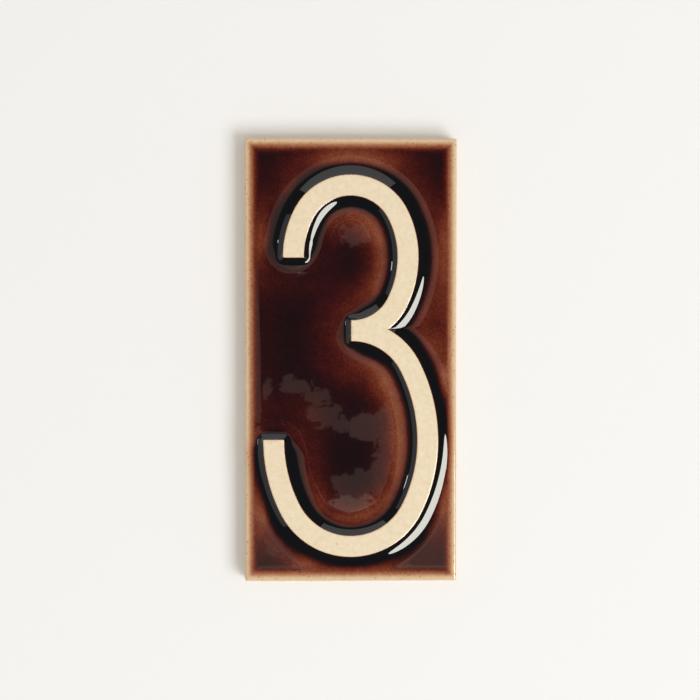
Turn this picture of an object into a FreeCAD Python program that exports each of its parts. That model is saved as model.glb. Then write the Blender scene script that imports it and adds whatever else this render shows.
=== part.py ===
"""House number plaque: one fired ceramic tile with a raised figure 3.

Units are millimetres. +Z runs up the long side, +X to the right as seen from the front, and the
figure faces -Y. The origin is the centre of the flat back, which lies on the wall at y = 0.
"""

import FreeCAD
import Part

import math
import os

# Slab
tile_width = 102.0
tile_height = 213.0
tile_thickness = 9.5  # back to the flat field
corner_round = 1.0  # the four corners as seen from the front
edge_round = 1.6  # front edge all round
back_round = 0.6  # back edge all round
rim_width = 8.0  # border in which the field falls away to the edge
rim_radius = 50.0  # curve of that border

# Figure, on the centre line of the stroke
stub_level = 13.8  # height of the short middle bar, where both bowls begin
stub_start = 0.6  # where the middle bar begins, right of the centre line
upper_half_width = 27.5
upper_foot = 35.5  # middle bar up to the widest level of the upper bowl
upper_head = 34.4  # widest level up to the crown
lower_half_width = 37.0
lower_head = 52.2  # middle bar down to the widest level of the lower bowl
lower_foot = 51.3  # widest level down to the crown
flank_turn = 27.0  # degrees each flank turns before the tighter crown takes over

# Cross-section of the figure
stroke_width = 10.2  # flat top of the stroke
relief = 3.0  # flat top above the field
cove_slope = 50.0  # degrees, steepness of the coved wall at the top
foot_slope = 5.0  # degrees, steepness where it runs out
foot_sink = 0.05  # the foot of the cove lies this far under the field
root_depth = 1.2  # the root reaches this far into the slab
end_round = 0.5  # corners of the flat top at the three ends of the stroke

# Keying on the back
groove_count = 6
groove_pitch = 15.0
groove_width = 7.0
groove_depth = 1.0
groove_margin = 14.0  # land left at the top and bottom

PART_DIR = "parts"
ORIGIN = FreeCAD.Vector(0, 0, 0)
ACROSS = FreeCAD.Vector(1, 0, 0)
FRONT = FreeCAD.Vector(0, -1, 0)
UP = FreeCAD.Vector(0, 0, 1)


def section_point(across, height):
    """A point of a cross-section: across to the right, height forward of the back."""
    return FreeCAD.Vector(across, -height, 0)


def section_line(start, end):
    return Part.makeLine(section_point(*start), section_point(*end))


def section_arc(centre, radius, start, end):
    """An arc of a cross-section, its angles in radians from across towards the front."""
    spots = []
    for angle in (start, (start + end) / 2, end):
        across = centre[0] + radius * math.cos(angle)
        height = centre[1] + radius * math.sin(angle)
        spots.append(section_point(across, height))
    return Part.Arc(*spots).toShape()


def closed_face(edges):
    return Part.Face(Part.Wire(Part.__sortEdges__(edges)))


def mirrored_face(half_outline):
    """A face from the right half of its outline and the same half mirrored to the left."""
    left = [edge.mirror(ORIGIN, ACROSS) for edge in half_outline]
    return closed_face(half_outline + left)


def slab_section(span):
    """Section of the slab: eased back edge, square side, rounded front edge and falling rim."""
    side = span / 2
    turn = math.asin((rim_width - edge_round) / (rim_radius - edge_round))
    rim_centre = (side - rim_width, tile_thickness - rim_radius)
    edge_centre = (side - edge_round, rim_centre[1] + (rim_radius - edge_round) * math.cos(turn))
    back_centre = (side - back_round, back_round)
    upright = math.pi / 2
    return mirrored_face([
        section_line((0, 0), (side - back_round, 0)),
        section_arc(back_centre, back_round, -upright, 0),
        section_line((side, back_round), (side, edge_centre[1])),
        section_arc(edge_centre, edge_round, 0, upright - turn),
        section_arc(rim_centre, rim_radius, upright - turn, upright),
        section_line((side - rim_width, tile_thickness), (0, tile_thickness)),
    ])


def relief_outline(flat):
    """Half outline of the figure's section: flat top, coved wall and the root sunk in the slab.

    The chain runs from the middle of the root to the middle of the top, flat wide to one side.
    """
    steep = math.radians(cove_slope)
    shallow = math.radians(foot_slope)
    radius = (relief + foot_sink) / (math.cos(shallow) - math.cos(steep))
    centre = (flat + radius * math.sin(steep), tile_thickness + relief + radius * math.cos(steep))
    below = -math.pi / 2
    foot = (centre[0] - radius * math.sin(shallow), tile_thickness - foot_sink)
    root = tile_thickness - root_depth
    toe = foot[0] + root_depth - foot_sink
    return [
        section_line((0, root), (toe, root)),
        section_line((toe, root), foot),
        section_arc(centre, radius, below - shallow, below - steep),
        section_line((flat, tile_thickness + relief), (0, tile_thickness + relief)),
    ]


def half_relief_face(flat):
    """Half section of the figure, closed along its middle, to be turned about that middle."""
    middle = section_line((0, tile_thickness + relief), (0, tile_thickness - root_depth))
    return closed_face(relief_outline(flat) + [middle])


def bend(centre_x, centre_z, radius, start, end):
    """A stretch of the stroke round a centre, from one angle to the other in degrees."""
    section = mirrored_face(relief_outline(stroke_width / 2))
    section.translate(ACROSS * radius)
    piece = section.revolve(ORIGIN, FRONT, end - start)
    piece.rotate(ORIGIN, FRONT, start)
    piece.translate(FreeCAD.Vector(centre_x, 0, centre_z))
    return piece


def bowl_quarter(level, half_width, half_height, side, rise, crown_x=0.0):
    """Flank and crown of one quarter of a bowl, each an arc, tangent where they meet.

    side is 1 on the right and -1 on the left, rise is 1 above the level and -1 below it.
    The crown ends level on the line x = crown_x.
    """
    half_width = half_width - side * crown_x
    turn = math.radians(flank_turn)
    excess = (half_height - half_width) / (math.sin(turn) + math.cos(turn) - 1)
    crown_radius = half_height - excess * math.sin(turn)
    flank_radius = crown_radius + excess
    flank_x = crown_x + side * (half_width - flank_radius)
    crown_z = level + rise * (half_height - crown_radius)
    arcs = [
        (flank_x, level, flank_radius, 0.0, flank_turn),
        (crown_x, crown_z, crown_radius, flank_turn, 90.0),
    ]
    pieces = []
    for centre_x, centre_z, radius, start, end in arcs:
        if side < 0:
            start, end = 180 - end, 180 - start
        if rise < 0:
            start, end = -end, -start
        pieces.append(bend(centre_x, centre_z, radius, start, end))
    return pieces


def stroke_end(centre_x, centre_z, facing):
    """The coved end of the stroke, its straight cut facing the given angle in degrees."""
    spread = stroke_width / 2 - end_round
    corner = half_relief_face(end_round)
    right = corner.revolve(ORIGIN, FRONT, 90)
    left = corner.revolve(ORIGIN, FRONT, 90)
    left.rotate(ORIGIN, FRONT, -90)
    right.translate(UP * spread)
    left.translate(UP * -spread)
    front = corner.extrude(UP * 2 * spread)
    front.translate(UP * -spread)
    pieces = [left, front, right]
    for piece in pieces:
        piece.rotate(ORIGIN, FRONT, facing)
        piece.translate(FreeCAD.Vector(centre_x, 0, centre_z))
    return pieces


def make_figure():
    """The raised figure: two open bowls that share the middle bar."""
    upper = stub_level + upper_foot
    lower = stub_level - lower_head
    pieces = bowl_quarter(upper, upper_half_width, upper_head, -1, 1)
    pieces += bowl_quarter(upper, upper_half_width, upper_head, 1, 1)
    pieces += bowl_quarter(upper, upper_half_width, upper_foot, 1, -1, stub_start)
    pieces += bowl_quarter(lower, lower_half_width, lower_head, 1, 1, stub_start)
    pieces += bowl_quarter(lower, lower_half_width, lower_foot, 1, -1)
    pieces += bowl_quarter(lower, lower_half_width, lower_foot, -1, -1)
    pieces += stroke_end(-upper_half_width, upper, -90)
    pieces += stroke_end(-lower_half_width, lower, 90)
    pieces += stroke_end(stub_start, stub_level, 180)
    return pieces


def make_slab():
    """The slab with its rim falling to all four sides, still square at the corners."""
    upright = slab_section(tile_width).extrude(UP * tile_height)
    upright.translate(UP * (-tile_height / 2))
    level = slab_section(tile_height).extrude(UP * tile_width)
    level.translate(UP * (-tile_width / 2))
    level.rotate(ORIGIN, FRONT, 90)
    return upright.common(level)


def make_footprint():
    """A block as tall as the whole tile, with the rounded corners seen from the front."""
    depth = tile_thickness + relief
    corner = FreeCAD.Vector(-tile_width / 2, -depth, -tile_height / 2)
    block = Part.makeBox(tile_width, depth, tile_height, corner)
    upright_edges = [edge for edge in block.Edges if edge.tangentAt(0).cross(FRONT).Length < 0.001]
    return block.makeFillet(corner_round, upright_edges)


def make_groove(centre_x):
    """A shallow groove with round ends, open to the wall."""
    half = groove_width / 2
    reach = tile_height / 2 - groove_margin - half
    box = Part.makeBox(groove_width, groove_depth, 2 * reach,
                       FreeCAD.Vector(centre_x - half, -groove_depth, -reach))
    ends = [Part.makeCylinder(half, groove_depth, FreeCAD.Vector(centre_x, 0, level), FRONT)
            for level in (reach, -reach)]
    return box.multiFuse(ends)


def make_tile():
    """Slab and figure as one body, trimmed to the footprint and keyed on the back."""
    body = make_slab().multiFuse(make_figure())
    body = body.common(make_footprint())
    first = -(groove_count - 1) / 2 * groove_pitch
    body = body.cut([make_groove(first + place * groove_pitch) for place in range(groove_count)])
    return body.removeSplitter().Solids[0]


def main():
    os.makedirs(PART_DIR, exist_ok=True)
    make_tile().exportStep(os.path.join(PART_DIR, "number_tile.step"))


if __name__ == "__main__":
    main()
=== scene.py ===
"""A house number tile: pressed stoneware with a raised figure 3 under a pooling amber glaze.

The dataclasses hold sizes in millimetres unless they say metres. The frame is in metres: +Z runs
up the long side, +X to the right as seen from the front, and the back of the tile lies on the wall
at y = 0. Heights are measured forward from the back, so a height of h is a y of -h.
"""

import logging
import math
from dataclasses import dataclass, field
from enum import Enum

import bpy
import numpy as np
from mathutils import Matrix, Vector
from mathutils.geometry import delaunay_2d_cdt


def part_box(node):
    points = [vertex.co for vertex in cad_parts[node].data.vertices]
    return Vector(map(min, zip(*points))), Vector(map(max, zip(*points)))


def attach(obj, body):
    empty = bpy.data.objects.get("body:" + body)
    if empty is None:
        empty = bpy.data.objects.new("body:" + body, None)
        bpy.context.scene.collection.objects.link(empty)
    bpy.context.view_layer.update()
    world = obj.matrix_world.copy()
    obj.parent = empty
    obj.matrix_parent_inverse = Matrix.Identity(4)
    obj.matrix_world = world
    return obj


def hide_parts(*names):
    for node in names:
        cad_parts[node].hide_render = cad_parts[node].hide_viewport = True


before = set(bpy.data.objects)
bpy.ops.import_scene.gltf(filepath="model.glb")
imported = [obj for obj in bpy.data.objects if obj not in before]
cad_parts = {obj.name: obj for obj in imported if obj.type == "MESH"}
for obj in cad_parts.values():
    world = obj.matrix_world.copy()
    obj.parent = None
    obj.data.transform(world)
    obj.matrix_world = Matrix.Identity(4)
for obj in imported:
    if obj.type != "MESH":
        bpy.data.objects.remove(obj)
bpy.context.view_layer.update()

LOG = logging.getLogger("house_number")
MM = 0.001
TILE_NODE = "number_tile"
BODY = "root"

PHOTO_PIXELS = 700  # width and height of the photograph
TILE_PIXELS = 212.6  # width of the tile in it
TILE_CENTRE_PIXEL = (350.7, 359.5)  # its middle, from the photograph's top left corner

SLACK = 1e-9  # allowed where two stretches of the numeral's outline meet
MERGE = 1e-6  # points of a mesh closer than this, in millimetres, are one
MIX_FROM, MIX_TO, MIXED = 6, 7, 2  # numbers of a colour mix's sockets


class Surface(Enum):
    """The two kinds of surface on the tile, numbered as its material slots."""

    GLAZED_FRONT = 0
    BARE_CLAY = 1


def smoothstep(value: np.ndarray) -> np.ndarray:
    """Eases a value from 0 to 1, level at both ends."""
    part = np.clip(value, 0.0, 1.0)
    return part * part * (3.0 - 2.0 * part)


def linear_colour(code: str) -> tuple[float, float, float, float]:
    """Turns an sRGB hex colour into linear light.

    Args:
        code: Six hex digits with a leading hash.

    Returns:
        Linear red, green and blue, and an alpha of 1.
    """
    parts = [int(code[place:place + 2], 16) / 255 for place in (1, 3, 5)]
    lit = [part / 12.92 if part <= 0.04045 else ((part + 0.055) / 1.055) ** 2.4 for part in parts]
    return (*lit, 1.0)


def add_node(tree: bpy.types.NodeTree, kind: str, inputs: dict[int | str, object] | None = None,
             **settings: object) -> bpy.types.Node:
    """Adds one node, sets it and links it.

    Args:
        tree: The node tree that gets the node.
        kind: Blender's name for the kind of node.
        inputs: Plain values, or output sockets to link from, by input name or number.
        **settings: Attributes of the node.

    Returns:
        The new node.
    """
    node = tree.nodes.new(kind)
    for name, value in settings.items():
        setattr(node, name, value)
    for name, value in (inputs or {}).items():
        if isinstance(value, bpy.types.NodeSocket):
            tree.links.new(value, node.inputs[name])
        else:
            node.inputs[name].default_value = value
    return node


@dataclass(frozen=True)
class Arc:
    """An arc of the numeral's centre line, in millimetres and radians."""

    centre_x: float
    centre_z: float
    radius: float
    start: float
    end: float


@dataclass(frozen=True)
class StrokeEnd:
    """A square end of the stroke: where its cut lies and which way it faces."""

    centre_x: float
    centre_z: float
    facing_x: float
    facing_z: float


@dataclass(frozen=True)
class Numeral:
    """The raised figure 3: two open bowls that share a short middle bar."""

    middle_level: float = 13.8  # height of the middle bar, which both bowls run into
    middle_start: float = 0.6  # where the bar is cut off
    upper_half_width: float = 27.4  # widths and heights run to the middle of the stroke
    upper_foot: float = 35.35  # from the upper bowl's widest level down to the bar
    upper_head: float = 34.3  # and up to its crown
    lower_half_width: float = 36.85
    lower_head: float = 52.6  # from the lower bowl's widest level up to the bar
    lower_foot: float = 50.55  # and down to its foot
    flank_turn: float = 27.0  # degrees that a flank turns before the tighter crown
    half_stroke: float = 5.1
    end_round: float = 0.5  # the corners of the square ends
    flow_round: float = 5.0  # the same corners where the glaze has run down from the ends
    flow_start: float = 8.0  # there it falls as if each end lay this much further back
    flow_stretch: float = 0.87  # and every millimetre past it were this long
    flow_reach: float = 3.5  # that has set in fully this far outside the ends
    flow_end: float = 18.0  # and is over this far out
    flow_fade: float = 6.0
    corner_points: int = 11  # points round each corner of the ends
    corner_first: float = 0.06  # where the first of them lies, as a share of the quarter turn

    def quarter(self, level: float, half_width: float, half_height: float, side: int, rise: int,
                crown_x: float = 0.0) -> list[Arc]:
        """Works out the flank and the tighter crown of one quarter of a bowl.

        Args:
            level: Height of the bowl's widest place.
            half_width: From the centre line to the middle of the stroke there.
            half_height: From that level to the middle of the stroke at the crown.
            side: 1 on the right, -1 on the left.
            rise: 1 above the level, -1 below it.
            crown_x: Where the crown ends level.

        Returns:
            The two arcs.
        """
        turn = math.radians(self.flank_turn)
        reach = half_width - side * crown_x
        excess = (half_height - reach) / (math.sin(turn) + math.cos(turn) - 1)
        crown = half_height - excess * math.sin(turn)
        flank = crown + excess
        arcs = []
        for centre_x, centre_z, radius, start, end in (
                (crown_x + side * (reach - flank), level, flank, 0.0, turn),
                (crown_x, level + rise * (half_height - crown), crown, turn, math.pi / 2)):
            if side < 0:
                start, end = math.pi - end, math.pi - start
            if rise < 0:
                start, end = -end, -start
            arcs.append(Arc(centre_x, centre_z, radius, start, end))
        return arcs

    @property
    def upper_level(self) -> float:
        """Height of the upper bowl's widest place."""
        return self.middle_level + self.upper_foot

    @property
    def lower_level(self) -> float:
        """Height of the lower bowl's widest place."""
        return self.middle_level - self.lower_head

    def bowls(self) -> tuple[list[Arc], list[Arc]]:
        """Lists the centre line.

        Returns:
            The arcs of the upper bowl and those of the lower bowl.
        """
        upper = (self.upper_level, self.upper_half_width)
        lower = (self.lower_level, self.lower_half_width)
        return (
            self.quarter(*upper, self.upper_head, -1, 1)
            + self.quarter(*upper, self.upper_head, 1, 1)
            + self.quarter(*upper, self.upper_foot, 1, -1, self.middle_start),
            self.quarter(*lower, self.lower_head, 1, 1, self.middle_start)
            + self.quarter(*lower, self.lower_foot, 1, -1)
            + self.quarter(*lower, self.lower_foot, -1, -1),
        )

    def ends(self) -> list[StrokeEnd]:
        """Lists the square ends: upper bowl, lower bowl and middle bar."""
        return [
            StrokeEnd(-self.upper_half_width, self.upper_level, 0, -1),
            StrokeEnd(-self.lower_half_width, self.lower_level, 0, 1),
            StrokeEnd(self.middle_start, self.middle_level, -1, 0),
        ]

    def distance(self, x: np.ndarray, z: np.ndarray, flowed: bool = False) -> np.ndarray:
        """Measures how far points lie outside the edge of the flat top.

        Args:
            x: Places across, in millimetres.
            z: Places up, in millimetres.
            flowed: Whether to measure as the glaze flowed, rounder past the square ends.

        Returns:
            The distances, negative on the flat top.
        """
        best = np.full(np.shape(x), np.inf)
        extra = 0.0
        upper, lower = self.bowls()
        for arc in upper + lower:
            across, up = x - arc.centre_x, z - arc.centre_z
            turned = (np.arctan2(up, across) - arc.start) % (2 * math.pi)
            gap = np.abs(np.hypot(across, up) - arc.radius) - self.half_stroke
            best = np.minimum(best, np.where(turned <= arc.end - arc.start + SLACK, gap, np.inf))
        for end in self.ends():
            along = (x - end.centre_x) * end.facing_x + (z - end.centre_z) * end.facing_z
            aside = np.abs((z - end.centre_z) * end.facing_x - (x - end.centre_x) * end.facing_z)
            aside = aside - self.half_stroke
            gap = self._end_gap(along, aside, self.end_round)
            best = np.minimum(best, np.where(along >= -SLACK, gap, np.inf))
            if flowed:
                wide = (along + self.flow_start) * self.flow_stretch
                wide = self._end_gap(wide, aside, self.flow_round)
                near = smoothstep(gap / self.flow_reach)
                near = near * smoothstep((self.flow_end - gap) / self.flow_fade)
                extra = extra + np.maximum(wide - gap, 0) * near
        return best + extra

    @staticmethod
    def _end_gap(along: np.ndarray, aside: np.ndarray, rounding: float) -> np.ndarray:
        """Measures the distance from a square end of the stroke.

        Args:
            along: How far points lie past the cut, in millimetres.
            aside: How far they lie outside the stroke's sides.
            rounding: Rounding of the end's corners.

        Returns:
            The distances, negative inside the end.
        """
        across = aside + rounding
        gap = np.hypot(np.maximum(along, 0), np.maximum(across, 0))
        return gap + np.minimum(np.maximum(along, across), 0) - rounding

    def outline(self, spacing: float) -> tuple[np.ndarray, np.ndarray]:
        """Samples the edge of the flat top.

        Args:
            spacing: Distance between samples along the stroke, in millimetres.

        Returns:
            The points and their outward directions, as two arrays of x and z.
        """
        points, directions = [], []
        upper, lower = self.bowls()
        for arc in upper + lower:
            count = max(2, round(arc.radius * (arc.end - arc.start) / spacing))
            turns = arc.start + (np.arange(count) + 0.5) / count * (arc.end - arc.start)
            ray = np.column_stack([np.cos(turns), np.sin(turns)])
            for side in (-1, 1):
                edge = (arc.radius + side * self.half_stroke) * ray
                points.append(edge + (arc.centre_x, arc.centre_z))
                directions.append(side * ray)
        reach = self.half_stroke - self.end_round
        for end in self.ends():
            facing = np.array([end.facing_x, end.facing_z], float)
            aside = np.array([-end.facing_z, end.facing_x], float)
            middle = np.array([end.centre_x, end.centre_z])
            for place in np.linspace(-reach, reach, round(2 * reach / spacing) + 1):
                points.append([middle + facing * self.end_round + aside * place])
                directions.append([facing])
            for side in (-1, 1):
                for turn in np.linspace(self.corner_first, 1.0, self.corner_points) * math.pi / 2:
                    ray = facing * math.cos(turn) + aside * side * math.sin(turn)
                    points.append([middle + aside * side * reach + ray * self.end_round])
                    directions.append([ray])
        return np.concatenate(points), np.concatenate(directions)


@dataclass(frozen=True)
class Slab:
    """The tile as pressed: its outline, edges and the falling rim of its face."""

    width: float
    height: float
    corner_round: float = 1.0  # seen from the front
    edge_round: float = 1.2  # all round the front
    back_round: float = 0.6  # and all round the back
    slope_left: float = 0.062  # how steeply the rim falls on each side
    slope_right: float = 0.055
    slope_top: float = 0.068
    slope_bottom: float = 0.07
    rim_left: float = 8.2  # and how wide it is there
    rim_right: float = 5.2
    rim_top: float = 8.0
    rim_bottom: float = 7.0
    rim_least: float = 0.25  # share of the side slopes left where the numeral comes close
    room_close: float = 8.0  # between numeral and side edge, where it counts as close
    room_clear: float = 15.0  # and where it is clear
    crown_least: float = 0.4  # share of the top slope left above the numeral's crown
    crown_reach: float = 26.0  # as far as this to each side
    bow: float = 0.36  # how far the hand-trimmed edges draw in at most
    bow_left: tuple[float, float, float] = (0.5, -0.5, 0.0)  # share of it, as a parabola of the
    bow_right: tuple[float, float, float] = (0.75, -0.45, -0.3)  # place along each edge, which
    bow_top: tuple[float, float, float] = (0.55, 0.45, 0.0)  # runs from -1 to 1
    bow_bottom: tuple[float, float, float] = (0.2975, 0.85, -0.2975)
    bow_fade_across: int = 8  # powers by which it fades inwards
    bow_fade_up: int = 16
    ring_turns: int = 9  # points round each corner of the outline
    least_round: float = 0.05  # a corner tighter than this is one point

    def edge_distance(self, x: np.ndarray, z: np.ndarray) -> np.ndarray:
        """Measures how far points lie inside the outline.

        Args:
            x: Places across, in millimetres.
            z: Places up.

        Returns:
            The distances, negative outside it.
        """
        across = np.abs(x) - self.width / 2 + self.corner_round
        up = np.abs(z) - self.height / 2 + self.corner_round
        outside = np.hypot(np.maximum(across, 0), np.maximum(up, 0))
        return self.corner_round - outside - np.minimum(np.maximum(across, up), 0)

    def rim_drop(self, x: np.ndarray, z: np.ndarray, room: np.ndarray) -> np.ndarray:
        """Works out how far the face falls in the rim and round its edge.

        Args:
            x: Places across, in millimetres.
            z: Places up.
            room: Millimetres between the numeral and the nearer side edge at that height.

        Returns:
            The drops in millimetres.
        """
        clear = smoothstep((room - self.room_close) / (self.room_clear - self.room_close))
        share = self.rim_least + (1 - self.rim_least) * clear
        past_crown = smoothstep(np.abs(x) / self.crown_reach)
        crown = self.crown_least + (1 - self.crown_least) * past_crown
        fall = np.maximum.reduce([
            share * self.slope_left * (self.rim_left - (self.width / 2 + x)),
            share * self.slope_right * (self.rim_right - (self.width / 2 - x)),
            crown * self.slope_top * (self.rim_top - (self.height / 2 - z)),
            self.slope_bottom * (self.rim_bottom - (self.height / 2 + z)),
            np.zeros(np.shape(x)),
        ])
        inside = np.clip(self.edge_distance(x, z), 0, self.edge_round)
        turned = np.sqrt(np.maximum(self.edge_round ** 2 - (self.edge_round - inside) ** 2, 0))
        return fall + self.edge_round - turned

    def loop(self, inset: float, spacing: float) -> tuple[np.ndarray, np.ndarray]:
        """Samples the outline drawn in by an inset.

        Args:
            inset: How far inside the outline the loop runs, in millimetres.
            spacing: Distance between samples on the straights.

        Returns:
            The points in order and their outward directions.
        """
        centre = (self.width / 2 - self.corner_round, self.height / 2 - self.corner_round)
        radius = self.corner_round - inset
        points, directions = [], []
        corners = [(1, -1), (1, 1), (-1, 1), (-1, -1)]
        for place, (side, rise) in enumerate(corners):
            start = (place - 1) * math.pi / 2
            turns = start + np.linspace(0, 1, self.ring_turns) * math.pi / 2
            ray = np.column_stack([np.cos(turns), np.sin(turns)])
            middle = np.array([side * centre[0], rise * centre[1]])
            if radius > self.least_round:
                points.append(middle + radius * ray)
                directions.append(ray)
            else:
                points.append([middle + radius * np.array([side, rise])])
                directions.append([np.array([side, rise]) / math.sqrt(2)])
            following = corners[(place + 1) % 4]
            span = centre[1] if following[0] == side else centre[0]
            count = round(2 * span / spacing)
            face = ray[-1]
            goal = np.array([following[0] * centre[0], following[1] * centre[1]])
            steps = (np.arange(1, count) / count)[:, None]
            shrink = max(0.0, inset - self.corner_round)
            along = (goal - middle) / np.linalg.norm(goal - middle)
            first, last = middle + along * shrink, goal - along * shrink
            points.append(first + (last - first) * steps + face * radius)
            directions.append(np.tile(face, (count - 1, 1)))
        return np.concatenate(points), np.concatenate(directions)

    def bowed(self, points: np.ndarray) -> np.ndarray:
        """Draws the edges in a little, as on a tile that was trimmed by hand.

        Args:
            points: Places across and up, in millimetres.

        Returns:
            The moved points, which never leave the true outline.
        """
        x, z = points[:, 0], points[:, 1]
        across, up = x / (self.width / 2), z / (self.height / 2)
        left, right = self._parabola(self.bow_left, up), self._parabola(self.bow_right, up)
        bottom, top = self._parabola(self.bow_bottom, across), self._parabola(self.bow_top, across)
        draw_x = np.where(x < 0, left, right).clip(0, 1) * self.bow
        draw_z = np.where(z < 0, bottom, top).clip(0, 1) * self.bow
        moved_x = x - np.sign(x) * draw_x * np.abs(across) ** self.bow_fade_across
        moved_z = z - np.sign(z) * draw_z * np.abs(up) ** self.bow_fade_up
        return np.column_stack([moved_x, moved_z])

    @staticmethod
    def _parabola(terms: tuple[float, float, float], place: np.ndarray) -> np.ndarray:
        """Works out a parabola from its constant, its slope and its curvature."""
        return terms[0] + terms[1] * place + terms[2] * place ** 2


@dataclass(frozen=True)
class GlazeSkirt:
    """How the glazed wall falls from the numeral's flat top and runs out into the field."""

    arris_start: float = -0.8  # the flat top begins to turn over here
    arris_width: float = 1.15
    wall_fall: float = 2.42  # depth of the wall's exponential fall
    wall_length: float = 3.1  # over which it falls to a third
    toe_slope: float = 0.036  # the last gentle slope, which ends in a faint line
    toe_reach: float = 10.3
    arris: float = 0.15  # the glaze keeps this edge sharp, just outside the flat top
    smoothing: float = 0.5  # and softens creases over this reach elsewhere,
    smoothing_wall: float = 0.25  # or over this share of the distance from the arris
    smoothing_edge: float = 0.3  # or from the tile's edge
    smoothing_points: int = 8  # points round each place, over which its height is averaged

    def drop(self, distance: np.ndarray) -> np.ndarray:
        """Works out how far the surface lies under the flat top.

        Args:
            distance: Millimetres outside the edge of the flat top.

        Returns:
            The drops in millimetres.
        """
        begin = self.arris_start + self.arris_width
        slope = self.wall_fall / self.wall_length * math.exp(-begin / self.wall_length)
        slope += self.toe_slope
        turned = np.clip(distance - self.arris_start, 0, self.arris_width)
        past = np.clip(distance, begin, self.toe_reach)
        wall = math.exp(-begin / self.wall_length) - np.exp(-past / self.wall_length)
        return (slope * turned ** 2 / (2 * self.arris_width)
                + self.wall_fall * wall + self.toe_slope * (past - begin))


@dataclass(frozen=True)
class Pool:
    """A place where the glaze ran thick (more than 0) or thin (less than 0)."""

    x: float
    z: float
    half_width: float
    half_height: float
    depth: float  # or, for the black band, millimetres that its edge moves out
    steepness: float = 1.5  # of its edge: 1 is a bell, and more has a flatter middle

    def at(self, x: np.ndarray, z: np.ndarray) -> np.ndarray:
        """Gives its share at the points."""
        spread = ((x - self.x) / self.half_width) ** 2 + ((z - self.z) / self.half_height) ** 2
        return self.depth * np.exp(-spread ** self.steepness)


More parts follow.
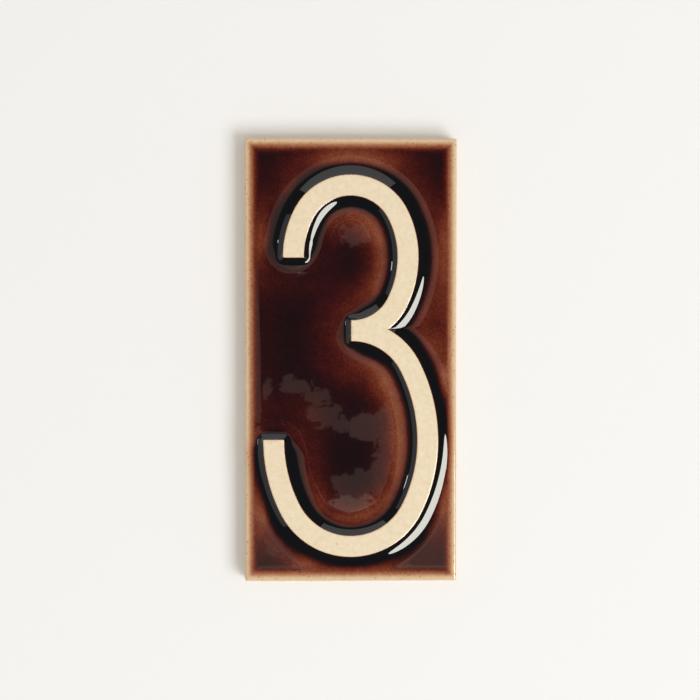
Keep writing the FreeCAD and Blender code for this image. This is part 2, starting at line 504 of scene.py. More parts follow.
@dataclass(frozen=True)
class GlazeDepth:
    """Depth of the coloured glaze, in units in which red light falls to a third."""

    black: float = 7.0  # in the groove at the foot of the wall
    field_depth: float = 2.0
    field_limits: tuple[float, float] = (1.2, 5.3)
    band_reach: float = 5.2  # the black band ends about here, further out where the field is dark
    band_gain: float = 2.5
    band_limits: tuple[float, float] = (3.9, 6.3)
    band_fade: float = 1.3  # over which its edge falls to a third
    band_depth: float = 2.0  # at its edge, and of the face that leaves it where it is
    settle_from: float = 8.0  # further than this from the numeral the glaze settles
    settle_rate: float = 0.15  # per millimetre
    settle_most: float = 2.9
    edge_line: float = 0.9  # the thin orange line at the arris of the numeral
    line_start: float = -0.25
    line_width: float = 0.2
    black_start: float = -0.05  # past it the glaze deepens to black
    black_width: float = 0.35
    arris_end: float = 0.5  # up to here the glaze is no deeper than these allow
    rim_bare: float = 0.9  # the outermost rim, from which the glaze drew back
    rim_fade: float = 4.2
    rim_least: float = 0.06
    rim_depth: float = 1.15
    rim_rate: float = 0.85  # per millimetre, from rim_turn inwards
    rim_turn: float = 4.2
    corner_depth: float = 0.25  # more in the four corners
    corner_reach: float = 15.0
    corner_start: float = 2.0  # but not in the outermost rim
    corner_fade: float = 3.0
    end_bare: float = 0.4  # the bare rim is this much wider at the top and bottom
    blend: float = 0.5  # the rim's depth and the field's meet over this difference
    arris_gloss: float = 0.82  # the glaze is this glossy where it thins over the arris
    arris_fade: float = 0.3
    wet_start: float = -0.8  # on the flat top, where the bare clay begins to shine
    wet_fade: float = 0.2
    rim_dry: float = 0.1  # and in from the tile's edge
    rim_wet: float = 0.8
    pools: tuple[Pool, ...] = (
        Pool(-6.0, 49.0, 12.0, 9.0, 0.7),
        Pool(15.0, 49.0, 6.0, 20.0, -0.6),
        Pool(4.0, 63.0, 11.0, 9.0, -0.9),
        Pool(7.0, 34.0, 8.0, 6.0, -0.4),
        Pool(-8.0, 14.0, 7.0, 14.0, 0.2),
        Pool(-20.0, 12.0, 7.0, 16.0, 0.2),
        Pool(-36.0, 64.0, 6.0, 20.0, 0.5),
        Pool(-37.0, 49.0, 6.0, 7.0, 0.6),
        Pool(-15.0, 56.0, 6.0, 9.0, 0.9),
        Pool(15.0, -18.0, 7.0, 9.0, -0.6),
        Pool(1.0, -54.0, 11.0, 14.0, 0.7),
        Pool(0.0, -77.0, 11.0, 5.0, -0.5),
        Pool(-23.0, -100.0, 8.0, 6.0, -0.7),
        Pool(-14.0, -68.0, 4.0, 8.0, -0.3),
        Pool(22.0, -103.0, 8.0, 4.0, -0.5),
        Pool(-39.0, -100.0, 5.0, 5.0, 0.5),
        Pool(48.0, 66.0, 6.0, 14.0, -0.6),
        Pool(-34.0, -24.0, 12.0, 6.0, 0.5),
        Pool(-42.0, 5.0, 8.0, 32.0, -0.8),
        Pool(-24.0, 42.0, 14.0, 6.0, 1.1),
        Pool(-28.0, 32.0, 13.0, 7.0, 0.5),
        Pool(-36.0, -30.0, 9.0, 5.0, 1.1),
        Pool(-16.0, -6.0, 14.0, 8.0, -0.3),
        Pool(-14.0, -21.0, 14.0, 8.0, -0.7),
        Pool(7.0, -9.0, 14.0, 9.0, -0.8),
        Pool(24.0, -37.0, 7.0, 33.0, -0.95),
        Pool(-25.0, -46.0, 6.0, 16.0, 0.5),
        Pool(12.0, -70.0, 10.0, 9.0, -0.6),
        Pool(5.0, 99.0, 34.0, 8.0, -1.0),
        Pool(-47.0, 60.0, 8.0, 21.0, -1.1),
        Pool(49.0, 38.0, 7.0, 42.0, -1.4),
        Pool(42.0, 15.0, 8.0, 13.0, -0.6),
        Pool(47.0, -8.0, 5.0, 10.0, -0.7),
        Pool(49.0, -72.0, 7.0, 15.0, -1.0),
        Pool(30.0, -91.0, 10.0, 8.0, 0.9),
        Pool(2.0, -104.0, 30.0, 5.0, -0.7),
        Pool(-47.0, -79.0, 7.0, 16.0, -1.1),
    )
    band_pools: tuple[Pool, ...] = (
        Pool(40.0, 58.0, 8.0, 34.0, 0.9),
        Pool(31.0, 18.0, 8.0, 12.0, 0.8),
        Pool(0.0, 96.0, 40.0, 9.0, 1.4),
        Pool(7.0, 72.0, 13.0, 6.0, 1.0),
        Pool(-20.0, 88.0, 12.0, 9.0, 1.2),
        Pool(29.0, 83.0, 11.0, 9.0, 1.2),
        Pool(10.0, 2.0, 7.0, 5.0, 0.8),
        Pool(-38.0, 64.0, 9.0, 26.0, 1.3),
        Pool(-33.0, -82.0, 14.0, 15.0, 1.2),
        Pool(33.0, -82.0, 14.0, 15.0, 1.2),
    )

    def rim(self, inside: np.ndarray, corner: np.ndarray) -> np.ndarray:
        """Works out the depth that the rim allows.

        Args:
            inside: Distances inside the tile's outline.
            corner: Distances from the nearest corner of the tile.

        Returns:
            The depths.
        """
        rise = smoothstep((inside - self.rim_bare) / self.rim_fade)
        full = self.corner_depth * np.exp(-(corner / self.corner_reach) ** 2)
        return (self.rim_least + self.rim_depth * rise
                + self.rim_rate * np.maximum(inside - self.rim_turn, 0)
                + full * smoothstep((inside - self.corner_start) / self.corner_fade))

    def at(self, x: np.ndarray, z: np.ndarray, outside: np.ndarray, inside: np.ndarray,
           corner: np.ndarray) -> np.ndarray:
        """Works out the depth of glaze.

        Args:
            x: Places across, in millimetres.
            z: Places up.
            outside: Distances outside the numeral's flat top.
            inside: Distances inside the tile's outline.
            corner: Distances from its nearest corner.

        Returns:
            The depths.
        """
        settled = np.clip((outside - self.settle_from) * self.settle_rate, 0, self.settle_most)
        open_field = self.field_depth + settled + sum(pool.at(x, z) for pool in self.pools)
        open_field = np.clip(open_field, *self.field_limits)
        rim = self.rim(inside, corner)
        gap = np.maximum(self.blend - np.abs(open_field - rim), 0) / self.blend
        face = np.minimum(open_field, rim) - gap * gap * self.blend / 4
        reach = self.band_reach + self.band_gain * (face - self.band_depth)
        reach = np.clip(reach, *self.band_limits)
        reach = reach + sum(pool.at(x, z) for pool in self.band_pools)
        band = self.band_depth * np.exp(-(outside - reach) / self.band_fade)
        depth = np.minimum(face + band, self.black)
        line = smoothstep((outside - self.line_start) / self.line_width)
        deep = smoothstep((outside - self.black_start) / self.black_width)
        arris = self.edge_line * line + (self.black - self.edge_line) * deep
        return np.where(outside < self.arris_end, np.minimum(arris, depth), depth)

    def cover(self, outside: np.ndarray, inside: np.ndarray) -> np.ndarray:
        """Works out how glossy the surface is.

        Args:
            outside: Distances outside the numeral's flat top.
            inside: Distances inside the tile's outline.

        Returns:
            From 0 on bare clay to 1 under the full glaze.
        """
        past = smoothstep((outside - self.black_start) / self.arris_fade)
        gloss = self.arris_gloss + (1 - self.arris_gloss) * past
        return (gloss * smoothstep((outside - self.wet_start) / self.wet_fade)
                * smoothstep((inside - self.rim_dry) / self.rim_wet))


@dataclass(frozen=True)
class Keying:
    """The round-ended grooves in the back that hold the mortar."""

    count: int = 6
    pitch: float = 15.0
    width: float = 7.0
    depth: float = 1.0
    margin: float = 14.0  # from the tile's top and bottom
    cap_points: int = 13  # points round each end

    def loops(self, tile_height: float) -> list[np.ndarray]:
        """Draws the outline of each groove.

        Args:
            tile_height: Height of the tile in millimetres.

        Returns:
            One closed run of points for each groove.
        """
        reach = tile_height / 2 - self.margin - self.width / 2
        turns = np.linspace(0, math.pi, self.cap_points)
        cap = self.width / 2 * np.column_stack([np.cos(turns), np.sin(turns)])
        loops = []
        for place in range(self.count):
            middle = (place - (self.count - 1) / 2) * self.pitch
            loops.append(np.concatenate([cap + (middle, reach), -cap + (middle, -reach)]))
        return loops


@dataclass(frozen=True)
class BareStoneware:
    """Unglazed buff stoneware, pressed and fired, with a fine darker grog in the body."""

    # To the eye: dry and matt, faintly clouded, with scattered brown grains and no shine.
    body: str = "#efdebf"
    shade: str = "#e0caa2"
    grog: str = "#b98d62"
    roughness: float = 0.62
    ior: float = 1.5
    mottle: float = 2.4  # mm across a cloud of the body's two tones
    mottle_detail: float = 4.0
    mottle_roughness: float = 0.8
    mottle_ends: tuple[float, float] = (0.3, 0.75)  # of the noise, where either tone is pure
    grain: float = 1.05  # mm, three times the real sand's, so that it shows
    grain_detail: float = 4.0
    grain_height: float = 0.12  # mm, six times the real one, so that it shows
    grog_spacing: float = 2.2  # mm between the darker grains
    grog_core: float = 0.11  # where a grain begins to fade, as a share of the spacing
    grog_edge: float = 0.24
    grog_strength: float = 0.75
    grog_missing: float = 0.55  # share of the places that hold no grain

    def colour(self, tree: bpy.types.NodeTree, place: bpy.types.NodeSocket) -> bpy.types.NodeSocket:
        """Builds the body's colour: a soft mottle with scattered grog.

        Args:
            tree: The material's node tree.
            place: Coordinates in metres.

        Returns:
            The colour socket.
        """
        mottle = add_node(tree, "ShaderNodeTexNoise", {
            "Vector": place, "Scale": 1 / (self.mottle * MM), "Detail": self.mottle_detail,
            "Roughness": self.mottle_roughness})
        toned = add_node(tree, "ShaderNodeMapRange", {
            "Value": mottle.outputs["Fac"], "From Min": self.mottle_ends[0],
            "From Max": self.mottle_ends[1]})
        body = add_node(tree, "ShaderNodeMix", {
            0: toned.outputs[0], MIX_FROM: linear_colour(self.body),
            MIX_TO: linear_colour(self.shade)}, data_type="RGBA")
        cells = add_node(tree, "ShaderNodeTexVoronoi",
                         {"Vector": place, "Scale": 1 / (self.grog_spacing * MM)})
        speck = add_node(tree, "ShaderNodeMapRange", {
            "Value": cells.outputs["Distance"], "From Min": self.grog_core,
            "From Max": self.grog_edge, "To Min": self.grog_strength, "To Max": 0.0})
        rare = add_node(tree, "ShaderNodeMath", {
            0: cells.outputs["Color"], 1: self.grog_missing}, operation="GREATER_THAN")
        share = add_node(tree, "ShaderNodeMath", {
            0: speck.outputs[0], 1: rare.outputs[0]}, operation="MULTIPLY")
        return add_node(tree, "ShaderNodeMix", {
            0: share.outputs[0], MIX_FROM: body.outputs[MIXED], MIX_TO: linear_colour(self.grog)},
            data_type="RGBA").outputs[MIXED]

    def material(self) -> bpy.types.Material:
        """Builds the material for the sides and back.

        Returns:
            The material.
        """
        material = bpy.data.materials.new("bare_stoneware")
        material.use_nodes = True
        tree = material.node_tree
        tree.nodes.clear()
        place = add_node(tree, "ShaderNodeTexCoord").outputs["Object"]
        grain = add_node(tree, "ShaderNodeTexNoise", {
            "Vector": place, "Scale": 1 / (self.grain * MM), "Detail": self.grain_detail})
        bump = add_node(tree, "ShaderNodeBump", {
            "Height": grain.outputs["Fac"], "Distance": self.grain_height * MM, "Strength": 1.0})
        shader = add_node(tree, "ShaderNodeBsdfPrincipled", {
            "Base Color": self.colour(tree, place), "Normal": bump.outputs[0],
            "Roughness": self.roughness, "IOR": self.ior})
        add_node(tree, "ShaderNodeOutputMaterial", {"Surface": shader.outputs[0]})
        return material


@dataclass(frozen=True)
class Mottle:
    """Clouds in the glaze, in which its depth varies."""

    size: float  # mm across
    detail: float
    roughness: float
    share: float  # of the depth, more and less


@dataclass(frozen=True)
class AmberGlaze:
    """Transparent amber glaze, poured over the stoneware and fired to a smooth gloss."""

    # To the eye: wet and bright, with sharp mirrored lights, over a colour that is orange where
    # the glaze is thin and nearly black where it pooled.
    clay: BareStoneware = field(default_factory=BareStoneware)
    absorption: tuple[float, float, float] = (1.0, 1.87, 2.28)  # of red, green and blue
    stain: tuple[float, float, float] = (0.95, 0.87, 0.8)  # what the thinnest glaze does
    deepest: float = 7.0  # where the ramp of colours ends
    roughness: float = 0.015
    ior: float = 1.6
    peel: float = 5.0  # mm between the ripples of the fired surface
    peel_height: float = 0.0016  # mm
    peel_detail: float = 1.0
    mottles: tuple[Mottle, ...] = (Mottle(4.0, 4.0, 0.6, 0.08), Mottle(1.1, 2.0, 0.7, 0.13))
    mottle_ends: tuple[float, float] = (0.3, 0.7)  # of the noise, where a mottle has its share
    ramp_depths: tuple[float, ...] = (  # the ramp's stops, closer where the glaze is thin
        0.0, 0.05, 0.15, 0.35, 0.6, 0.9, 1.3, 1.7, 2.1, 2.6, 3.2, 4.0, 5.0, 7.0)

    def material(self) -> bpy.types.Material:
        """Builds the material for the front.

        Returns:
            The material.
        """
        material = bpy.data.materials.new("amber_glaze_on_stoneware")
        material.use_nodes = True
        tree = material.node_tree
        tree.nodes.clear()
        place = add_node(tree, "ShaderNodeTexCoord").outputs["Object"]
        depth = add_node(tree, "ShaderNodeAttribute", attribute_name="glaze_depth").outputs["Fac"]
        cover = add_node(tree, "ShaderNodeAttribute", attribute_name="glaze_cover").outputs["Fac"]
        varied = depth
        for mottle in self.mottles:
            noise = add_node(tree, "ShaderNodeTexNoise", {
                "Vector": place, "Scale": 1 / (mottle.size * MM), "Detail": mottle.detail,
                "Roughness": mottle.roughness})
            vary = add_node(tree, "ShaderNodeMapRange", {
                "Value": noise.outputs["Fac"], "From Min": self.mottle_ends[0],
                "From Max": self.mottle_ends[1], "To Min": 1 - mottle.share,
                "To Max": 1 + mottle.share}, clamp=False)
            varied = add_node(tree, "ShaderNodeMath", {0: varied, 1: vary.outputs[0]},
                              operation="MULTIPLY").outputs[0]
        share = add_node(tree, "ShaderNodeMath", {0: varied, 1: self.deepest},
                         operation="DIVIDE")
        ramp = add_node(tree, "ShaderNodeValToRGB", {"Fac": share.outputs[0]})
        self._fill(ramp.color_ramp)
        base = add_node(tree, "ShaderNodeMix", {
            0: 1.0, MIX_FROM: self.clay.colour(tree, place), MIX_TO: ramp.outputs["Color"]},
            data_type="RGBA", blend_type="MULTIPLY")
        rough = add_node(tree, "ShaderNodeMapRange", {
            "Value": cover, "To Min": self.clay.roughness, "To Max": self.roughness})
        ripple = add_node(tree, "ShaderNodeTexNoise", {
            "Vector": place, "Scale": 1 / (self.peel * MM), "Detail": self.peel_detail})
        bump = add_node(tree, "ShaderNodeBump", {
            "Height": ripple.outputs["Fac"], "Distance": self.peel_height * MM})
        shader = add_node(tree, "ShaderNodeBsdfPrincipled", {
            "Base Color": base.outputs[MIXED], "Roughness": rough.outputs[0],
            "Normal": bump.outputs[0], "IOR": self.ior})
        add_node(tree, "ShaderNodeOutputMaterial", {"Surface": shader.outputs[0]})
        return material

    def _fill(self, ramp: bpy.types.ColorRamp) -> None:
        """Fills a ramp with what passes through the glaze, from no depth to the deepest.

        Args:
            ramp: The ramp.
        """
        # The stops are put in order first, and coloured once they have their places.
        while len(ramp.elements) < len(self.ramp_depths):
            ramp.elements.new(0.5)
        for element, depth in zip(ramp.elements, self.ramp_depths):
            element.position = depth / self.deepest
        for element, depth in zip(ramp.elements, self.ramp_depths):
            through = [math.exp(-depth * rate) for rate in self.absorption]
            if depth > 0:
                through = [part * tint for part, tint in zip(through, self.stain)]
            element.color = (*through, 1.0)


@dataclass
class NumberTile:
    """The fired tile: slab, raised numeral and glaze as one closed body."""

    slab: Slab
    top_height: float
    numeral: Numeral = field(default_factory=Numeral)
    skirt: GlazeSkirt = field(default_factory=GlazeSkirt)
    depth: GlazeDepth = field(default_factory=GlazeDepth)
    keying: Keying = field(default_factory=Keying)
    glaze: AmberGlaze = field(default_factory=AmberGlaze)
    clay: BareStoneware = BareStoneware("#d2c3a5", "#c8b48f")  # the sides and back are darker
    outline_spacing: float = 0.9  # between points along the outline
    stroke_spacing: float = 0.7  # along the numeral
    field_spacing: float = 1.6  # in the open field
    rim_insets: tuple[float, ...] = (
        0.03, 0.1, 0.2, 0.34, 0.52, 0.75, 1.05, 1.4, 1.75, 2.1, 2.5, 2.9, 3.4, 4.0, 4.8, 5.8,
        6.8, 7.8, 8.8)  # rings of points inside the outline
    wall_offsets: tuple[float, ...] = (
        -2.6, -1.4, -0.8, -0.65, -0.5, -0.38, -0.3, -0.22, -0.14, -0.07, 0.0, 0.07, 0.15, 0.25,
        0.38, 0.55, 0.75, 1.0, 1.3, 1.65, 2.05, 2.5, 3.0, 3.55, 4.1, 4.7, 5.3, 6.0, 6.8, 7.7, 8.6,
        9.4, 9.9, 10.3, 10.7, 11.4)  # and about the numeral's edge
    meeting: float = 0.55  # where both kinds of ring meet, as a share of the other's distance
    rim_margin: float = 0.4
    wall_margin: float = 0.7
    field_from_wall: float = 12.0
    field_from_edge: float = 9.6
    field_on_top: float = 3.2
    row_share: float = 0.866  # the field's rows are this much closer, for even triangles
    ring_slack: float = 0.01  # how far off its distance a point of the wall may lie
    room_step: float = 1.0  # between the levels at which the room beside the numeral is measured
    slope_step: float = 0.02  # over which the slope is measured to each side
    side_levels: tuple[float, ...] = (4.0, 2.0)  # heights of the loops round the sides
    back_loops: int = 5  # and loops round the eased back edge

    def raw_height(self, x: np.ndarray, z: np.ndarray) -> np.ndarray:
        """Works out the height of the front before the glaze softens its creases."""
        outside = self.numeral.distance(x, z, flowed=True)
        return (self.top_height - self.skirt.drop(outside)
                - self.slab.rim_drop(x, z, self._room(x, z)))

    def _room(self, x: np.ndarray, z: np.ndarray) -> np.ndarray:
        """Measures the room between the numeral and the nearer side edge, level by level.

        Args:
            x: Places across, in millimetres.
            z: Places up.

        Returns:
            The room at each point's level, in millimetres.
        """
        end, step = self.slab.height / 2, self.room_step
        levels = np.arange(-end, end + step, step)
        edge = np.full(len(levels), self.slab.width / 2)
        left = self.numeral.distance(-edge, levels)
        right = self.numeral.distance(edge, levels)
        return np.where(x < 0, np.interp(z, levels, left), np.interp(z, levels, right))

    def height(self, x: np.ndarray, z: np.ndarray) -> np.ndarray:
        """Works out the height of the front, softened as the glaze flowed.

        Args:
            x: Places across, in millimetres.
            z: Places up.

        Returns:
            The heights forward of the back.
        """
        skirt = self.skirt
        from_arris = np.abs(self.numeral.distance(x, z, flowed=True) - skirt.arris)
        from_edge = np.maximum(self.slab.edge_distance(x, z), 0)
        reach = np.minimum(np.minimum(skirt.smoothing_wall * from_arris,
                                      skirt.smoothing_edge * from_edge), skirt.smoothing)
        total = np.zeros(np.shape(x))
        for turn in np.arange(skirt.smoothing_points) * 2 * math.pi / skirt.smoothing_points:
            total += self.raw_height(x + reach * math.cos(turn), z + reach * math.sin(turn))
        return total / skirt.smoothing_points

    def normals(self, x: np.ndarray, z: np.ndarray) -> np.ndarray:
        """Works out the front's normals from the slope of its height.

        Args:
            x: Places across, in millimetres.
            z: Places up.

        Returns:
            Unit vectors in the directions of the frame.
        """
        step = self.slope_step
        slope_x = (self.height(x + step, z) - self.height(x - step, z)) / (2 * step)
        slope_z = (self.height(x, z + step) - self.height(x, z - step)) / (2 * step)
        normal = np.column_stack([-slope_x, -np.ones(len(x)), -slope_z])
        return normal / np.linalg.norm(normal, axis=1)[:, None]

    def front_points(self) -> tuple[np.ndarray, int]:
        """Places the front's points: rings round the outline and the numeral, and a field.

        Returns:
            The points across and up, and how many of them, the first, are the outline.
        """
        slab, numeral = self.slab, self.numeral
        border, _ = slab.loop(0.0, self.outline_spacing)
        kept = [border]
        for inset in self.rim_insets:
            ring, _ = slab.loop(inset, self.outline_spacing)
            outside = numeral.distance(ring[:, 0], ring[:, 1])
            kept.append(ring[inset < self.rim_margin + self.meeting * outside])
        edge, direction = numeral.outline(self.stroke_spacing)
        for offset in self.wall_offsets:
            ring = edge + direction * offset
            outside = numeral.distance(ring[:, 0], ring[:, 1])
            inside = slab.edge_distance(ring[:, 0], ring[:, 1])
            clear = inside > self.wall_margin + self.meeting * offset
            kept.append(ring[(np.abs(outside - offset) < self.ring_slack) & clear])
        step = self.field_spacing
        x, z = np.meshgrid(np.arange(-slab.width / 2, slab.width / 2, step),
                           np.arange(-slab.height / 2, slab.height / 2, step * self.row_share))
        x[1::2] += step / 2  # every second row lies half a step across
        x, z = x.ravel(), z.ravel()
        outside, inside = numeral.distance(x, z), slab.edge_distance(x, z)
        in_field = (outside > self.field_from_wall) & (inside > self.field_from_edge)
        on_top = outside < -self.field_on_top
        kept.append(np.column_stack([x, z])[in_field | on_top])
        return np.concatenate(kept), len(border)

    def build(self) -> bpy.types.Object:
        """Builds the whole tile as one closed mesh with its normals and glaze depth.

        Returns:
            The tile's object.
        """
        points, border_count = self.front_points()
        ring = [(place, (place + 1) % border_count) for place in range(border_count)]
        flat, _, triangles, origin, _, _ = delaunay_2d_cdt(
            [Vector(point) for point in points], ring, [], 1, MERGE)
        flat = np.array([tuple(point) for point in flat])
        place_of = {source: place for place, sources in enumerate(origin) for source in sources}
        border = [place_of[place] for place in range(border_count)]
        x, z = flat[:, 0], flat[:, 1]
        normals = self.normals(x, z)
        _, sideways = self.slab.loop(0.0, self.outline_spacing)
        normals[border] = np.column_stack([sideways[:, 0], np.zeros(border_count), sideways[:, 1]])
        faces = [tuple(triangle) for triangle in triangles]
        kinds = [Surface.GLAZED_FRONT.value] * len(faces)
        side_faces, side_spots, side_normals, last = self._sides(border, len(flat))
        faces += side_faces
        smooth_faces = len(faces)
        count = len(flat) + len(side_spots) * border_count
        back_faces, back_spots = self._back(side_spots[-1][:, :2], last, count)
        faces += back_faces
        kinds += [Surface.BARE_CLAY.value] * (len(faces) - len(kinds))
        front_spots = np.column_stack([flat, self.height(x, z)])
        spots = np.concatenate([front_spots, *side_spots, *back_spots])
        plan = self.slab.bowed(spots[:, :2])
        vertices = np.column_stack([plan[:, 0], -spots[:, 2], plan[:, 1]]) * MM
        mesh = bpy.data.meshes.new("glazed_number_tile")
        mesh.from_pydata(vertices.tolist(), [], faces)
        mesh.materials.append(self.glaze.material())
        mesh.materials.append(self.clay.material())
        mesh.polygons.foreach_set("material_index", kinds)
        self._shade(mesh, np.concatenate([normals, *side_normals]), smooth_faces)
        self._coat(mesh, x, z)
        mesh.validate()
        tile = bpy.data.objects.new("glazed_number_tile", mesh)
        bpy.context.scene.collection.objects.link(tile)
        return tile

    def _coat(self, mesh: bpy.types.Mesh, x: np.ndarray, z: np.ndarray) -> None:
        """Stores the glaze's depth and gloss at every vertex.

        Args:
            mesh: The tile's mesh, whose first vertices are the front's.
            x: Places of the front's vertices across, in millimetres.
            z: Their places up.
        """
        outside = self.numeral.distance(x, z, flowed=True)
        inside = self.slab.edge_distance(x, z)
        from_side, from_end = self.slab.width / 2 - np.abs(x), self.slab.height / 2 - np.abs(z)
        rim = np.minimum(inside, from_end - self.depth.end_bare)
        depths = self.depth.at(x, z, outside, rim, np.hypot(from_side, from_end))
        covers = self.depth.cover(outside, inside)
        for name, front in (("glaze_depth", depths), ("glaze_cover", covers)):
            values = np.zeros(len(mesh.vertices))
            values[:len(front)] = front
            mesh.attributes.new(name, "FLOAT", "POINT").data.foreach_set("value", values)

    def _sides(self, border: list[int], count: int) -> tuple[
            list[tuple[int, ...]], list[np.ndarray], list[np.ndarray], list[int]]:
        """Builds the sides and the eased back edge.

        Args:
            border: Numbers of the outline's vertices in the mesh.
            count: How many vertices the mesh has so far.

        Returns:
            The faces, the new points with their heights, their normals and the last loop's
            numbers.
        """
        start, sideways = self.slab.loop(0.0, self.outline_spacing)
        rounding, size = self.slab.back_round, len(border)
        # Each loop has its inset, its height and how far its normals turn to the back.
        levels = [(0.0, level, 0.0) for level in self.side_levels]
        levels += [(rounding * (1 - math.cos(turn)), rounding * (1 - math.sin(turn)), turn)
                   for turn in np.linspace(0, 0.5, self.back_loops) * math.pi]
        faces, spots, normals, previous = [], [], [], border
        for inset, level, turn in levels:
            spots.append(np.column_stack([start - sideways * inset, np.full(size, level)]))
            normals.append(np.column_stack([
                sideways[:, 0] * math.cos(turn), np.full(size, math.sin(turn)),
                sideways[:, 1] * math.cos(turn)]))
            current = list(range(count, count + size))
            count += size
            faces += self._band(previous, current)
            previous = current
        return faces, spots, normals, previous

    @staticmethod
    def _band(first: list[int], second: list[int]) -> list[tuple[int, ...]]:
        """Joins two closed loops of vertices with quads, facing outwards."""
        count = len(first)
        return [(first[place], second[place], second[(place + 1) % count],
                 first[(place + 1) % count]) for place in range(count)]

    def _back(self, loop: np.ndarray, loop_places: list[int],
              count: int) -> tuple[list[tuple[int, ...]], list[np.ndarray]]:
        """Builds the keyed back inside its outer loop.

        Args:
            loop: The outer loop's points.
            loop_places: Their numbers in the mesh.
            count: How many vertices the mesh has so far.

        Returns:
            The faces and the new points, each with its height.
        """
        grooves = self.keying.loops(self.slab.height)
        points = np.concatenate([loop, *grooves])
        edges, first = [], 0
        for run in [loop, *grooves]:
            size = len(run)
            edges += [(first + place, first + (place + 1) % size) for place in range(size)]
            first += size
        _, _, triangles, origin, _, _ = delaunay_2d_cdt(
            [Vector(point) for point in points], edges, [], 1, MERGE)
        number = {place: sources[0] for place, sources in enumerate(origin)}
        mesh_number = loop_places + list(range(count, count + len(points) - len(loop)))
        faces = []
        spots = [np.column_stack([points[len(loop):], np.zeros(len(points) - len(loop))])]
        starts = np.cumsum([len(loop)] + [len(groove) for groove in grooves])
        group = np.searchsorted(starts, np.arange(len(points)), side="right")
        for triangle in triangles:
            ids = [number[place] for place in triangle]
            groups = {int(group[place]) for place in ids}
            if len(groups) == 1 and 0 not in groups:  # inside a groove, which has its own floor
                continue
            faces.append(tuple(mesh_number[place] for place in reversed(ids)))
        count += len(points) - len(loop)
        for place, groove in enumerate(grooves):
            begin = starts[place]
            rim = [mesh_number[spot] for spot in range(begin, begin + len(groove))]
            floor = list(range(count, count + len(groove)))
            spots.append(np.column_stack([groove, np.full(len(groove), self.keying.depth)]))
            faces += [tuple(reversed(quad)) for quad in self._band(floor, rim)]
            faces.append(tuple(reversed(floor)))
            count += len(groove)
        return faces, spots

    @staticmethod
    def _shade(mesh: bpy.types.Mesh, normals: np.ndarray, smooth_faces: int) -> None:
        """Sets the exact normals of the curved surfaces and leaves the keyed back faceted.

        Args:
            mesh: The tile's mesh.
            normals: Normals of its first vertices, which the curved surfaces use.
            smooth_faces: How many of its faces, the first, are curved.
        """
        mesh.update()
        mesh.polygons.foreach_set("use_smooth", [True] * len(mesh.polygons))
        corner_normals = np.zeros((len(mesh.loops), 3))
        corner_vertex = np.zeros(len(mesh.loops), int)
        mesh.loops.foreach_get("vertex_index", corner_vertex)
        last_smooth = mesh.polygons[smooth_faces - 1]
        smooth_corners = last_smooth.loop_start + last_smooth.loop_total
        corner_normals[:smooth_corners] = normals[corner_vertex[:smooth_corners]]
        for polygon in mesh.polygons[smooth_faces:]:
            first = polygon.loop_start
            corner_normals[first:first + polygon.loop_total] = polygon.normal
        mesh.normals_split_custom_set(corner_normals.tolist())

    def dress(self) -> bpy.types.Object:
        """Builds the tile and fastens it to the frame.

        Returns:
            The tile's object.
        """
        tile = self.build()
        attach(tile, BODY)
        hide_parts(TILE_NODE)
        LOG.info("%s: %d vertices, %d faces", tile.name, len(tile.data.vertices),
                 len(tile.data.polygons))
        return tile


@dataclass(frozen=True)
class PaintedPlaster:
    """Smooth plaster, trowelled and painted off-white."""

    # To the eye: flat and pale, without texture or shine, so that it only takes the shadow.
    paint: str = "#f6f4f0"

    def material(self) -> bpy.types.Material:
        """Builds the material, which is clear from its back.

        Returns:
            The material.
        """
        material = bpy.data.materials.new("painted_plaster")
        material.use_nodes = True
        tree = material.node_tree
        tree.nodes.clear()
        matt = add_node(tree, "ShaderNodeBsdfDiffuse", {"Color": linear_colour(self.paint)})
        clear = add_node(tree, "ShaderNodeBsdfTransparent")
        behind = add_node(tree, "ShaderNodeNewGeometry").outputs["Backfacing"]
        either = add_node(tree, "ShaderNodeMixShader", {
            0: behind, 1: matt.outputs[0], 2: clear.outputs[0]})
        add_node(tree, "ShaderNodeOutputMaterial", {"Surface": either.outputs[0]})
        return material


class Facing(Enum):
    """Which way a card shines, as the turn of a lamp that would shine down."""

    WALL = (math.pi / 2, 0.0, 0.0)
    DOWN = (0.0, 0.0, 0.0)
    RIGHT = (0.0, -math.pi / 2, 0.0)


class CardShape(Enum):
    """The outline of a card."""

    RECTANGLE = "RECTANGLE"
    ELLIPSE = "ELLIPSE"


@dataclass(frozen=True)
class Card:
    """A lit rectangle in the room in front of the wall, in metres."""

    name: str
    facing: Facing
    centre: tuple[float, float, float]
    size: tuple[float, float]  # along its own first and second side
    radiance: float
    colour: tuple[float, float, float] = (1.0, 1.0, 1.0)
    lights_surfaces: bool = False
    shape: CardShape = CardShape.RECTANGLE

    def build(self) -> bpy.types.Object:
        """Hangs the card as a lamp that either lights matt surfaces or shows in the gloss.

        Returns:
            The lamp's object.
        """
        lamp = bpy.data.lights.new(self.name, "AREA")
        lamp.shape = self.shape.value
        lamp.size, lamp.size_y = self.size
        filled = math.pi / 4 if self.shape is CardShape.ELLIPSE else 1.0
        lamp.energy = self.radiance * math.pi * self.size[0] * self.size[1] * filled
        lamp.color = self.colour
        card = bpy.data.objects.new(self.name, lamp)
        card.location = self.centre
        card.rotation_euler = self.facing.value
        card.visible_camera = False
        card.visible_diffuse = self.lights_surfaces
        card.visible_glossy = not self.lights_surfaces
        bpy.context.scene.collection.objects.link(card)
        return card


@dataclass(frozen=True)
class RoomPatch:
    """A pale thing in the room, given by where it shows in the flat glaze, in millimetres."""

    x: float
    z: float
    half_width: float
    half_height: float
    strength: float = 0.9


